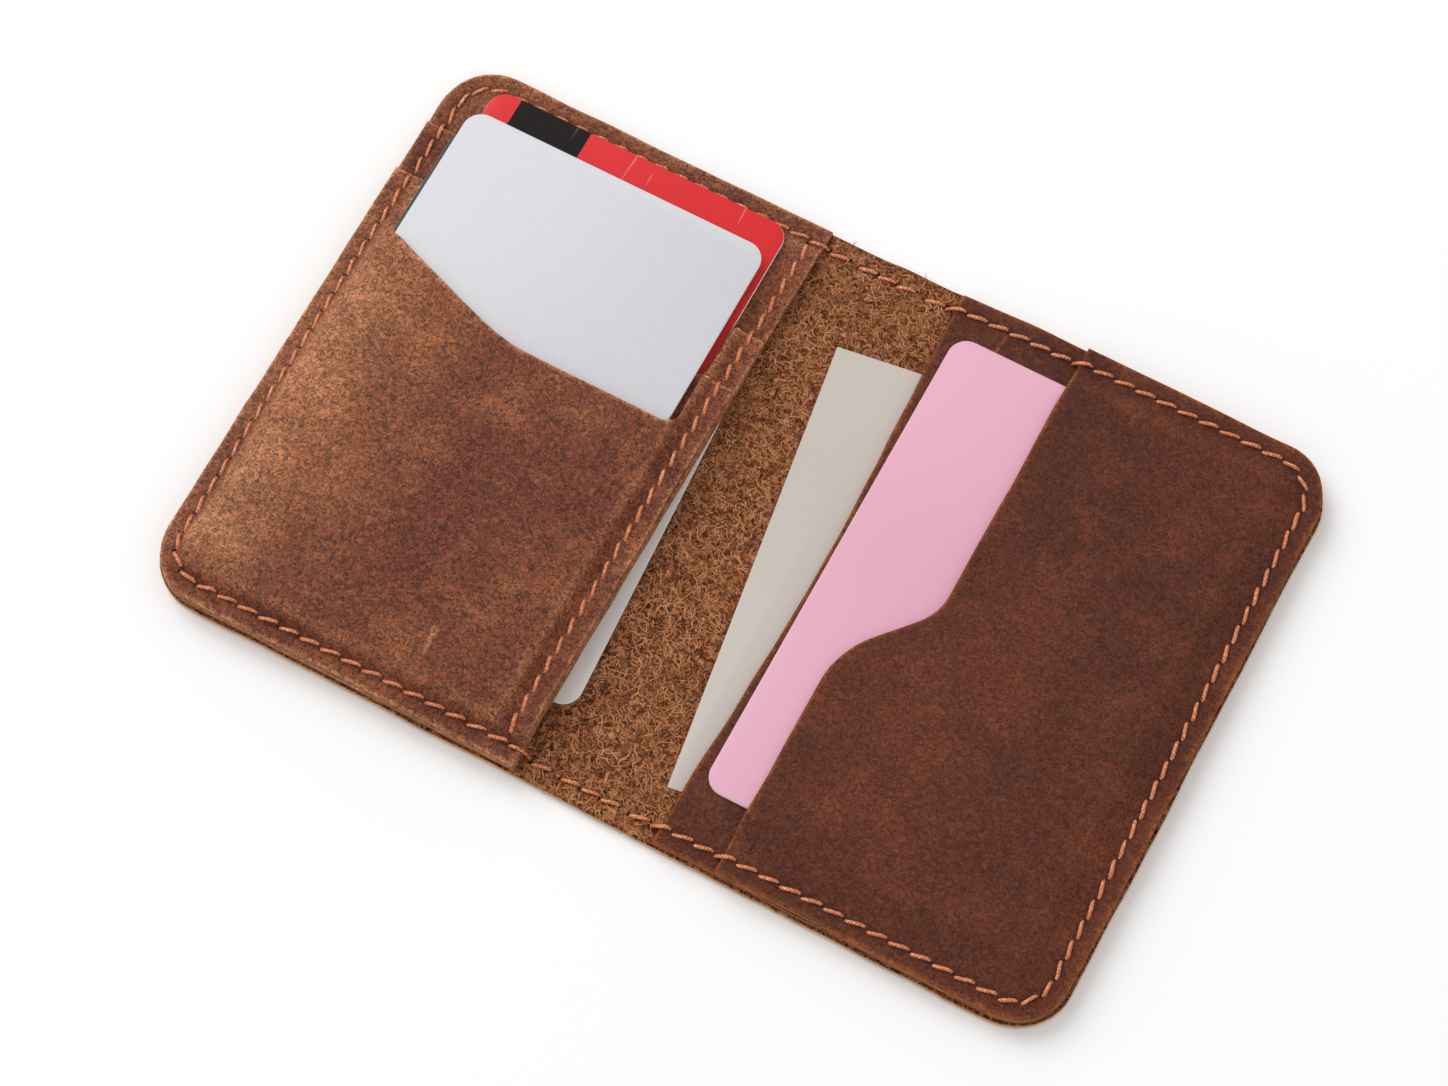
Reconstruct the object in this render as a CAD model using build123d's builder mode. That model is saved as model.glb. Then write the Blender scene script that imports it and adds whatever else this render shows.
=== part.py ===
"""Bifold leather wallet, lying open, with the cards it holds.

Every sketch is drawn in leather coordinates: x and y are measured from the lower left corner
of the open wallet. The finished part has its origin at the middle of the underside.
"""
import os
from math import cos, dist, pi, radians, sin

from build123d import *

# Cards of the common bank size, in millimetres: the wallet is cut to them
card_width = 53.98
card_length = 85.6
card_thickness = 0.76
card_corner = 3.18
card_gap = 0.05          # above and below each card
side_gap = 0.3           # beside each card in its pocket
stripe_width = 12.9
stripe_inset = 4.6
stripe_depth = 0.05

# Places of the cards: left edges from the wallet's left edge, lower edges from its lower one
silver_left, silver_bottom = 6.55, 8.55
green_left, green_bottom = 5.8, 5.15
red_left, red_bottom = 7.4, 14.75
white_proud, white_bottom, white_tilt = 2.9, 12.9, 3.3    # how far it stands out of its slot
pink_inset, pink_bottom = 9.79, 11.2                      # from the wallet's right edge

# Overall sizes, worked out from the cards
height_allowance = 18.4
left_panel_allowance = 5.62      # from the rear card's right edge to the panel's
base_panel_allowance = 12.32
spine_leather = 23.7             # bare cover between the two panels
outer_corner = 9.0
wallet_height = card_length + height_allowance
left_panel_width = red_left + card_width + left_panel_allowance
base_panel_width = card_width + base_panel_allowance
open_width = left_panel_width + spine_leather + base_panel_width

# Leather
cover_thickness = 1.2
backing_thickness = 1.0
rear_pocket_thickness = 1.0
front_pocket_thickness = 1.1
base_thickness = 1.2
right_pocket_thickness = 1.2
formed_wall = 0.6        # side wall where the leather is stretched over a card's edge
formed_corner = 3.0      # inside radius of the same wall at a card's corner

# Left card pockets, with heights measured down from the wallet's top edge
ear_width = 5.7                  # the strip beside the card window
right_ear_width = 5.9
front_left_ear_top = wallet_height - 23.9
front_right_ear_top = wallet_height - 33.4
front_mouth_left = wallet_height - 35.1
front_mouth_level = wallet_height - 44.0
mouth_bend_x = 31.0              # where the slanted mouth turns level
rear_pocket_lift = 10.2          # how much higher the rear pocket's mouth lies
ear_corner = 0.8
mouth_notch = 2.0
mouth_bend = 25.0

# Right pocket: widths from the wallet's right edge, heights from its lower one
pocket_top_width = 44.5
pocket_bottom_width = 55.55
pocket_curve_top = 52.9
pocket_curve_bottom = 39.85
pocket_curve_top_radius = 7.5
pocket_curve_bottom_radius = 13.0

# Paper slip behind the right base panel
slip_width = 52.0
slip_length = card_length - 7.1
slip_thickness = 0.25
slip_proud = 13.7                # how far its corner stands out into the spine
slip_drop = 17.3                 # from the wallet's top edge to that corner
slip_tilt = 8.4

# Thread and the groove it lies in on the underside
seam_inset = 2.8
stitch_pitch = 3.6
stitch_space = 0.5       # between the ends of two stitches
stitch_slant = 9.0
thread_width = 0.85
thread_height = 0.45
sunk_thread_height = 0.35
groove_width = 1.6
groove_depth = 0.5
pocket_seam_inset = 3.3
pocket_seam_clearance = 1.2
hinge_clearance = 0.8    # bare leather between a fold line and the nearest stitch

# Fold
fold_gap = 1.5           # between the two halves when the wallet is shut

# Levels of the left half, from the underside up
slip_floor = cover_thickness + card_gap
white_floor = slip_floor + slip_thickness + card_gap
backing_level = white_floor + card_thickness + card_gap
backing_rim = cover_thickness + backing_thickness
backing_top = backing_level + backing_thickness
red_floor = backing_top + card_gap
rear_level = red_floor + card_thickness + card_gap
rear_rim = backing_rim + rear_pocket_thickness
rear_strip = backing_top + rear_pocket_thickness
rear_top = rear_level + rear_pocket_thickness
green_floor = rear_top + card_gap
silver_floor = green_floor + card_thickness + card_gap
front_level = silver_floor + card_thickness + card_gap
front_rim = rear_rim + front_pocket_thickness
front_strip = rear_strip + front_pocket_thickness
front_top = front_level + front_pocket_thickness

# Levels of the right half
base_level = slip_floor + slip_thickness + card_gap
base_rim = cover_thickness + base_thickness
base_top = base_level + base_thickness
pink_floor = base_top + card_gap
right_level = pink_floor + card_thickness + card_gap
right_rim = base_rim + right_pocket_thickness
right_top = right_level + right_pocket_thickness

# Fold lines: the flat spine between them is as wide as the shut wallet is deep inside
spine_width = (front_top - cover_thickness) + (right_top - cover_thickness) + fold_gap
left_fold = (open_width - spine_width) / 2
right_fold = (open_width + spine_width) / 2
base_left = open_width - base_panel_width
pocket_left_low = open_width - pocket_bottom_width
pocket_left_high = open_width - pocket_top_width
pocket_seam_x = left_panel_width - pocket_seam_inset


def tilted_reach(width, length, tilt):
    """How far a tilted rectangle reaches along x and along y."""
    turn = radians(tilt)
    return width * cos(turn) + length * sin(turn), width * sin(turn) + length * cos(turn)


# Places of the tilted pieces: the white card by its right-hand corner, the slip by its left one
white_right = left_panel_width + white_proud
white_reach_x, white_reach_y = tilted_reach(card_width, card_length, white_tilt)
white_left = white_right - white_reach_x
white_low = white_bottom - card_width * sin(radians(white_tilt))
white_centre = (white_right - white_reach_x / 2, white_low + white_reach_y / 2)
slip_left = base_left - slip_proud
slip_reach_x, slip_reach_y = tilted_reach(slip_width, slip_length, slip_tilt)
slip_low = wallet_height - slip_drop - slip_length * cos(radians(slip_tilt))
slip_centre = (slip_left + slip_reach_x / 2, slip_low + slip_reach_y / 2)
pink_left = open_width - pink_inset - card_width


def at_height(z):
    """The leather's plane at a height above the underside."""
    return Plane((-open_width / 2, -wallet_height / 2, z))


def rectangle_between(x0, y0, x1, y1, mode=Mode.ADD):
    with Locations(((x0 + x1) / 2, (y0 + y1) / 2)):
        Rectangle(x1 - x0, y1 - y0, mode=mode)


def rounded_between(x0, y0, x1, y1, margin=0.0):
    """The footprint of a formed space, or with a margin that of the leather round it."""
    with Locations(((x0 + x1) / 2, (y0 + y1) / 2)):
        RectangleRounded(x1 - x0 + 2 * margin, y1 - y0 + 2 * margin, formed_corner + margin)


def wallet_outline(x0, x1, inset=0.0, mode=Mode.ADD):
    """The rounded outline of the open wallet, cut to the stretch from x0 to x1."""
    with Locations((open_width / 2, wallet_height / 2)):
        RectangleRounded(open_width - 2 * inset, wallet_height - 2 * inset, outer_corner - inset, mode=mode)
    if mode == Mode.ADD:
        rectangle_between(x0, 0, x1, wallet_height, mode=Mode.INTERSECT)


def cut_thread_groove(x0, x1):
    """A shallow channel along the seam on the underside, so that the thread lies below the face."""
    with BuildSketch(at_height(0)) as channel:
        wallet_outline(x0, x1, seam_inset - groove_width / 2)
        wallet_outline(x0, x1, seam_inset + groove_width / 2, mode=Mode.SUBTRACT)
    extrude(channel.sketch, amount=groove_depth, mode=Mode.SUBTRACT)


def form_over(spaces, rim_floor, thickness):
    """Raises the sheet over what lies under it. Each space is x0, y0, x1, y1 and its ceiling."""
    for x0, y0, x1, y1, ceiling in spaces:
        with BuildSketch(at_height(rim_floor)) as outside:
            rounded_between(x0, y0, x1, y1, formed_wall)
        extrude(outside.sketch, amount=ceiling + thickness - rim_floor)
    for x0, y0, x1, y1, ceiling in spaces:
        with BuildSketch(at_height(rim_floor)) as inside:
            rounded_between(x0, y0, x1, y1)
        extrude(inside.sketch, amount=ceiling - rim_floor, mode=Mode.SUBTRACT)


def grown(space, ceiling):
    """The outside of a formed space, which is what the next sheet is formed over."""
    x0, y0, x1, y1, _ = space
    return x0 - formed_wall, y0 - formed_wall, x1 + formed_wall, y1 + formed_wall, ceiling


def trim_to_outline(draw_outline, height):
    """Cuts the sheet to its outline, through all its levels."""
    with BuildSketch(at_height(0)) as outline:
        draw_outline()
    extrude(outline.sketch, amount=height, mode=Mode.INTERSECT)


def backing_outline():
    wallet_outline(0, left_panel_width)


def card_pocket_outline(lift):
    """A left card pocket: a slanted mouth between two ears."""
    window_right = left_panel_width - right_ear_width
    corners = [
        (0, 0, 0),
        (left_panel_width, 0, 0),
        (left_panel_width, front_right_ear_top + lift, ear_corner),
        (window_right, front_right_ear_top + lift, ear_corner),
        (window_right, front_mouth_level + lift, mouth_notch),
        (mouth_bend_x, front_mouth_level + lift, mouth_bend),
        (ear_width, front_mouth_left + lift, mouth_notch),
        (ear_width, front_left_ear_top + lift, ear_corner),
        (0, front_left_ear_top + lift, 0),
    ]
    with BuildLine() as edge:
        FilletPolyline([(x, y) for x, y, _ in corners], radius=[r for _, _, r in corners], close=True)
    make_face(edge.edges())
    with Locations((open_width / 2, wallet_height / 2)):
        RectangleRounded(open_width, wallet_height, outer_corner, mode=Mode.INTERSECT)


def base_outline():
    wallet_outline(base_left, open_width)


def right_pocket_outline():
    """The right pocket: its mouth faces the spine and steps over in an S."""
    corners = [
        (open_width, 0, 0),
        (open_width, wallet_height, 0),
        (pocket_left_high, wallet_height, 0),
        (pocket_left_high, pocket_curve_top, pocket_curve_top_radius),
        (pocket_left_low, pocket_curve_bottom, pocket_curve_bottom_radius),
        (pocket_left_low, 0, 0),
    ]
    with BuildLine() as edge:
        FilletPolyline([(x, y) for x, y, _ in corners], radius=[r for _, _, r in corners], close=True)
    make_face(edge.edges())
    with Locations((open_width / 2, wallet_height / 2)):
        RectangleRounded(open_width, wallet_height, outer_corner, mode=Mode.INTERSECT)


# Spaces that the sheets are formed over
past_edge = wallet_height                      # a space that stays open there runs past the edge
white_space = (
    white_left - side_gap, white_low - side_gap,
    left_panel_width + past_edge, white_low + white_reach_y + side_gap, backing_level,
)
over_backing = grown(white_space, backing_top)
red_space = (
    red_left - side_gap, over_backing[1], red_left + card_width + side_gap,
    wallet_height + past_edge, rear_level,
)
over_rear = [grown(over_backing, rear_strip), grown(red_space, rear_top)]
front_space = (
    min(silver_left, green_left) - side_gap, min(silver_bottom, green_bottom) - side_gap,
    max(silver_left, green_left) + card_width + side_gap, wallet_height + past_edge, front_level,
)
slip_space = (
    base_left - past_edge, slip_low - side_gap,
    slip_left + slip_reach_x + side_gap, slip_low + slip_reach_y + side_gap, base_level,
)
over_base = grown(slip_space, base_top)
pink_space = (
    base_left - past_edge, min(pink_bottom - side_gap, over_base[1]),
    max(pink_left + card_width + side_gap, over_base[2]),
    max(pink_bottom + card_length + side_gap, over_base[3]), right_level,
)

# Cover: one hide in three stretches, which turn about the two fold lines
with BuildPart() as cover_left:
    with BuildSketch(at_height(0)):
        wallet_outline(0, left_fold)
    extrude(amount=cover_thickness)
    cut_thread_groove(0, left_fold)

with BuildPart() as cover_spine:
    with BuildSketch(at_height(0)):
        wallet_outline(left_fold, right_fold)
    extrude(amount=cover_thickness)
    cut_thread_groove(left_fold, right_fold)

with BuildPart() as cover_right:
    with BuildSketch(at_height(0)):
        wallet_outline(right_fold, open_width)
    extrude(amount=cover_thickness)
    cut_thread_groove(right_fold, open_width)

# Left half: a backing and two card pockets
with BuildPart() as left_backing_panel:
    with BuildSketch(at_height(cover_thickness)):
        backing_outline()
    extrude(amount=backing_thickness)
    form_over([white_space], cover_thickness, backing_thickness)
    trim_to_outline(backing_outline, backing_top)

with BuildPart() as rear_card_pocket:
    with BuildSketch(at_height(backing_rim)):
        card_pocket_outline(rear_pocket_lift)
    extrude(amount=rear_pocket_thickness)
    form_over([over_backing, red_space], backing_rim, rear_pocket_thickness)
    trim_to_outline(lambda: card_pocket_outline(rear_pocket_lift), rear_top)

with BuildPart() as front_card_pocket:
    with BuildSketch(at_height(rear_rim)):
        card_pocket_outline(0)
    extrude(amount=front_pocket_thickness)
    form_over([*over_rear, front_space], rear_rim, front_pocket_thickness)
    trim_to_outline(lambda: card_pocket_outline(0), front_top)

# Right half: a base panel and one pocket
with BuildPart() as right_base_panel:
    with BuildSketch(at_height(cover_thickness)):
        base_outline()
    extrude(amount=base_thickness)
    form_over([slip_space], cover_thickness, base_thickness)
    trim_to_outline(base_outline, base_top)

with BuildPart() as right_pocket:
    with BuildSketch(at_height(base_rim)):
        right_pocket_outline()
    extrude(amount=right_pocket_thickness)
    form_over([over_base, pink_space], base_rim, right_pocket_thickness)
    trim_to_outline(right_pocket_outline, right_top)


def card_face(centre, tilt=0.0):
    with Locations(Location((*centre, 0), (0, 0, tilt))):
        RectangleRounded(card_width, card_length, card_corner)


def upright_centre(left, bottom):
    return left + card_width / 2, bottom + card_length / 2


# Cards
with BuildPart() as silver_card:
    with BuildSketch(at_height(silver_floor)):
        card_face(upright_centre(silver_left, silver_bottom))
    extrude(amount=card_thickness)

with BuildPart() as green_card:
    with BuildSketch(at_height(green_floor)):
        card_face(upright_centre(green_left, green_bottom))
    extrude(amount=card_thickness)

with BuildPart() as red_card:
    with BuildSketch(at_height(red_floor)):
        card_face(upright_centre(red_left, red_bottom))
    extrude(amount=card_thickness)
    with BuildSketch(at_height(red_floor + card_thickness)):
        rectangle_between(
            red_left + stripe_inset, red_bottom, red_left + stripe_inset + stripe_width, red_bottom + card_length
        )
    extrude(amount=-stripe_depth, mode=Mode.SUBTRACT)

with BuildPart() as magnetic_stripe:
    with BuildSketch(at_height(red_floor + card_thickness - stripe_depth)):
        rectangle_between(
            red_left + stripe_inset, red_bottom, red_left + stripe_inset + stripe_width, red_bottom + card_length
        )
    extrude(amount=stripe_depth)

with BuildPart() as white_card:
    with BuildSketch(at_height(white_floor)):
        card_face(white_centre, white_tilt)
    extrude(amount=card_thickness)

with BuildPart() as pink_card:
    with BuildSketch(at_height(pink_floor)):
        card_face(upright_centre(pink_left, pink_bottom))
    extrude(amount=card_thickness)

with BuildPart() as grey_slip:
    with BuildSketch(at_height(slip_floor)):
        with Locations(Location((*slip_centre, 0), (0, 0, slip_tilt))):
            Rectangle(slip_width, slip_length)
    extrude(amount=slip_thickness)


def straight_run(start, end):
    """Stitches along a straight seam, each as its centre, direction and length."""
    length = dist(start, end)
    count = round(length / stitch_pitch)
    heading = Vector(1, 0).get_signed_angle(Vector(end[0] - start[0], end[1] - start[1]))
    stitches = []
    for index in range(count):
        share = (index + 0.5) / count
        x = start[0] + share * (end[0] - start[0])
        y = start[1] + share * (end[1] - start[1])
        stitches.append((x, y, heading, length / count - stitch_space))
    return stitches


def corner_run(centre, first_angle):
    """Stitches round a quarter turn of the seam."""
    radius = outer_corner - seam_inset
    length = radius * pi / 2
    count = round(length / stitch_pitch)
    stitches = []
    for index in range(count):
        angle = first_angle + 90 * (index + 0.5) / count
        x = centre[0] + radius * cos(radians(angle))
        y = centre[1] + radius * sin(radians(angle))
        stitches.append((x, y, angle + 90, length / count - stitch_space))
    return stitches


low = outer_corner
high = wallet_height - outer_corner
far = open_width - outer_corner
seam_top = wallet_height - seam_inset
left_run_end = left_fold - hinge_clearance
right_run_start = right_fold + hinge_clearance
left_seam = (
    straight_run((left_run_end, seam_top), (low, seam_top))
    + corner_run((low, high), 90)
    + straight_run((seam_inset, high), (seam_inset, low))
    + corner_run((low, low), 180)
    + straight_run((low, seam_inset), (left_run_end, seam_inset))
)
spine_seam = [
    stitch
    for y in (seam_inset, seam_top)
    for stitch in straight_run((left_fold + hinge_clearance, y), (right_fold - hinge_clearance, y))
]
right_seam = (
    straight_run((right_run_start, seam_inset), (far, seam_inset))
    + corner_run((far, low), 270)
    + straight_run((open_width - seam_inset, low), (open_width - seam_inset, high))
    + corner_run((far, high), 0)
    + straight_run((far, seam_top), (right_run_start, seam_top))
)
pocket_seam = straight_run(
    (pocket_seam_x, seam_inset + pocket_seam_clearance), (pocket_seam_x, seam_top - pocket_seam_clearance)
)


def border_seat(x, y):
    """The height of the leather's face at the border."""
    if x < left_panel_width:
        if y < front_left_ear_top:
            return front_rim
        return rear_rim if y < front_left_ear_top + rear_pocket_lift else backing_rim
    if x < base_left:
        return cover_thickness
    pocket_left = pocket_left_low if y < pocket_curve_bottom else pocket_left_high
    return base_rim if x < pocket_left else right_rim


def pocket_seam_seat(_x, y):
    """The height of the leather's face along the seam that closes the card pockets."""
    if y < over_rear[0][1] - formed_wall:
        return front_rim
    if y < front_right_ear_top:
        return front_strip
    if y < front_right_ear_top + rear_pocket_lift:
        return rear_strip
    return backing_top


def sew(stitches, seat, height):
    """Lays each stitch on the leather under it, on the higher side where it crosses a step."""
    by_level = {}
    for x, y, heading, length in stitches:
        turn = radians(heading)
        reach_x, reach_y = cos(turn) * length / 2, sin(turn) * length / 2
        level = max(seat(x - reach_x, y - reach_y), seat(x + reach_x, y + reach_y))
        by_level.setdefault(level, []).append((x, y, heading, length))
    for level, group in by_level.items():
        with BuildSketch(at_height(level)) as threads:
            for x, y, heading, length in group:
                with Locations(Location((x, y, 0), (0, 0, heading + stitch_slant))):
                    SlotOverall(length, thread_width)
        extrude(threads.sketch, amount=height)


def groove_floor(_x, _y):
    return groove_depth - sunk_thread_height


# Thread, on the inside and sunk in its groove on the outside
with BuildPart() as left_inner_stitches:
    sew(left_seam, border_seat, thread_height)

with BuildPart() as left_outer_stitches:
    sew(left_seam, groove_floor, sunk_thread_height)

with BuildPart() as spine_inner_stitches:
    sew(spine_seam, border_seat, thread_height)

with BuildPart() as spine_outer_stitches:
    sew(spine_seam, groove_floor, sunk_thread_height)

with BuildPart() as right_inner_stitches:
    sew(right_seam, border_seat, thread_height)

with BuildPart() as right_outer_stitches:
    sew(right_seam, groove_floor, sunk_thread_height)

with BuildPart() as pocket_seam_stitches:
    sew(pocket_seam, pocket_seam_seat, thread_height)

pieces = {
    "cover_left": cover_left,
    "cover_spine": cover_spine,
    "cover_right": cover_right,
    "left_backing_panel": left_backing_panel,
    "rear_card_pocket": rear_card_pocket,
    "front_card_pocket": front_card_pocket,
    "right_base_panel": right_base_panel,
    "right_pocket": right_pocket,
    "silver_card": silver_card,
    "green_card": green_card,
    "red_card": red_card,
    "magnetic_stripe": magnetic_stripe,
    "white_card": white_card,
    "pink_card": pink_card,
    "grey_slip": grey_slip,
    "left_inner_stitches": left_inner_stitches,
    "left_outer_stitches": left_outer_stitches,
    "spine_inner_stitches": spine_inner_stitches,
    "spine_outer_stitches": spine_outer_stitches,
    "right_inner_stitches": right_inner_stitches,
    "right_outer_stitches": right_outer_stitches,
    "pocket_seam_stitches": pocket_seam_stitches,
}
os.makedirs("parts", exist_ok=True)
for name, piece in pieces.items():
    piece.part.label = name
    export_step(piece.part, f"parts/{name}.step")

half = open_width / 2
print("fold lines at x =", round(left_fold - half, 4), round(right_fold - half, 4), "z =", cover_thickness)
print("silver card leaves its pocket after", round(front_mouth_left - silver_bottom, 2))
print("green card leaves its pocket after", round(front_mouth_left - green_bottom, 2))
print("red card leaves its pocket after", round(front_mouth_left + rear_pocket_lift - red_bottom, 2))
print("white card meets the right base panel after", round(base_left - white_right, 2))
print("pink card meets the left panel after", round(pink_left - left_panel_width, 2))
print("levels:", round(front_top, 3), round(right_top, 3), "spine", round(spine_width, 3))
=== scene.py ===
import math
import random

import bmesh
import bpy
import numpy as np
from mathutils import Matrix, Vector, noise


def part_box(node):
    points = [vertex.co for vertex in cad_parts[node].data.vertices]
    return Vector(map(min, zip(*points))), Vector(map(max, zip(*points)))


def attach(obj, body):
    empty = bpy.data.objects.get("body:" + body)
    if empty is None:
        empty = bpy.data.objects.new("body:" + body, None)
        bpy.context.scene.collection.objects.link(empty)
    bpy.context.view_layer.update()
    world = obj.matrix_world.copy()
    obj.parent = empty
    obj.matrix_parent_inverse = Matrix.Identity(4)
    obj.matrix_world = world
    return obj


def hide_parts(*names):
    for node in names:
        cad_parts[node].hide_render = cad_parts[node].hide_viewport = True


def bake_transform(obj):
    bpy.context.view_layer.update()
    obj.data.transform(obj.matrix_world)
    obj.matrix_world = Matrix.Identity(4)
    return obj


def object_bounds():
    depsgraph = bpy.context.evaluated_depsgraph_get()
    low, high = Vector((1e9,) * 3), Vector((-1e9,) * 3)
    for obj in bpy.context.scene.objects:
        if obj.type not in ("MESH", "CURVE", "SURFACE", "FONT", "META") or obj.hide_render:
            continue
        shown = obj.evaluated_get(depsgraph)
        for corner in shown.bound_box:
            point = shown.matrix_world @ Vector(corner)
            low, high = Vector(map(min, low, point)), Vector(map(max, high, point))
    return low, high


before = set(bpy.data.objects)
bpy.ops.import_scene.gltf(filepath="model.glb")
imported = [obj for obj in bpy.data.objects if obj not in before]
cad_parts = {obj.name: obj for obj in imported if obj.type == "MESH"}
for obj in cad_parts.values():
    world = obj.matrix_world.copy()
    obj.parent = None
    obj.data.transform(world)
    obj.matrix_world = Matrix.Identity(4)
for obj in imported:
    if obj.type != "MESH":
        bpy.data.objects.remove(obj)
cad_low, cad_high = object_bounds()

# Lengths below are millimetres on the open wallet, from the lower left corner of its underside.
mm = 0.001


def place(x, y, z):
    return Vector((cad_low.x + x * mm, cad_low.y + y * mm, cad_low.z + z * mm))


def low_of(node):
    return (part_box(node)[0] - cad_low) / mm


def high_of(node):
    return (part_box(node)[1] - cad_low) / mm


open_width, open_height, _ = (cad_high - cad_low) / mm  # 157 by 104
middle = open_width / 2
panel_edge = high_of("left_backing_panel").x
base_edge = low_of("right_base_panel").x
cover_top = high_of("cover_left").z
left_fold = low_of("cover_spine").x
right_fold = high_of("cover_spine").x
outer_corner = 9.0
seam_inset = 2.8
seam_corner = outer_corner - seam_inset
stitch_pitch = 3.6
pocket_seam_x = 63.7
seam_top = open_height - seam_inset

# ---------------------------------------------------------------- materials

# The Mix node's sockets when it mixes two colours by a share.
share_in, first_in, second_in, mixed_out = 0, 6, 7, 2


def tint(code):
    """An sRGB hex colour as the linear colour that a shader wants."""
    parts = [int(code[i:i + 2], 16) / 255 for i in (0, 2, 4)]
    return [c / 12.92 if c <= 0.04045 else ((c + 0.055) / 1.055) ** 2.4 for c in parts] + [1.0]


def scale_for(size):
    """The noise scale whose features are this many millimetres across."""
    return 1 / (size * mm)


def add(tree, kind, links=(), **settings):
    """Adds a node; links are pairs of an input and what it takes, a socket or a value."""
    made = tree.nodes.new("ShaderNode" + kind)
    for key, value in settings.items():
        setattr(made, key, value)
    for entry, source in dict(links).items():
        if isinstance(source, bpy.types.NodeSocket):
            tree.links.new(source, made.inputs[entry])
        else:
            made.inputs[entry].default_value = source
    return made


def start_material(name):
    material = bpy.data.materials.new(name)
    material.use_nodes = True
    tree = material.node_tree
    shader = tree.nodes["Principled BSDF"]
    where = add(tree, "TexCoord").outputs["Object"]
    return material, tree, shader, where


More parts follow.
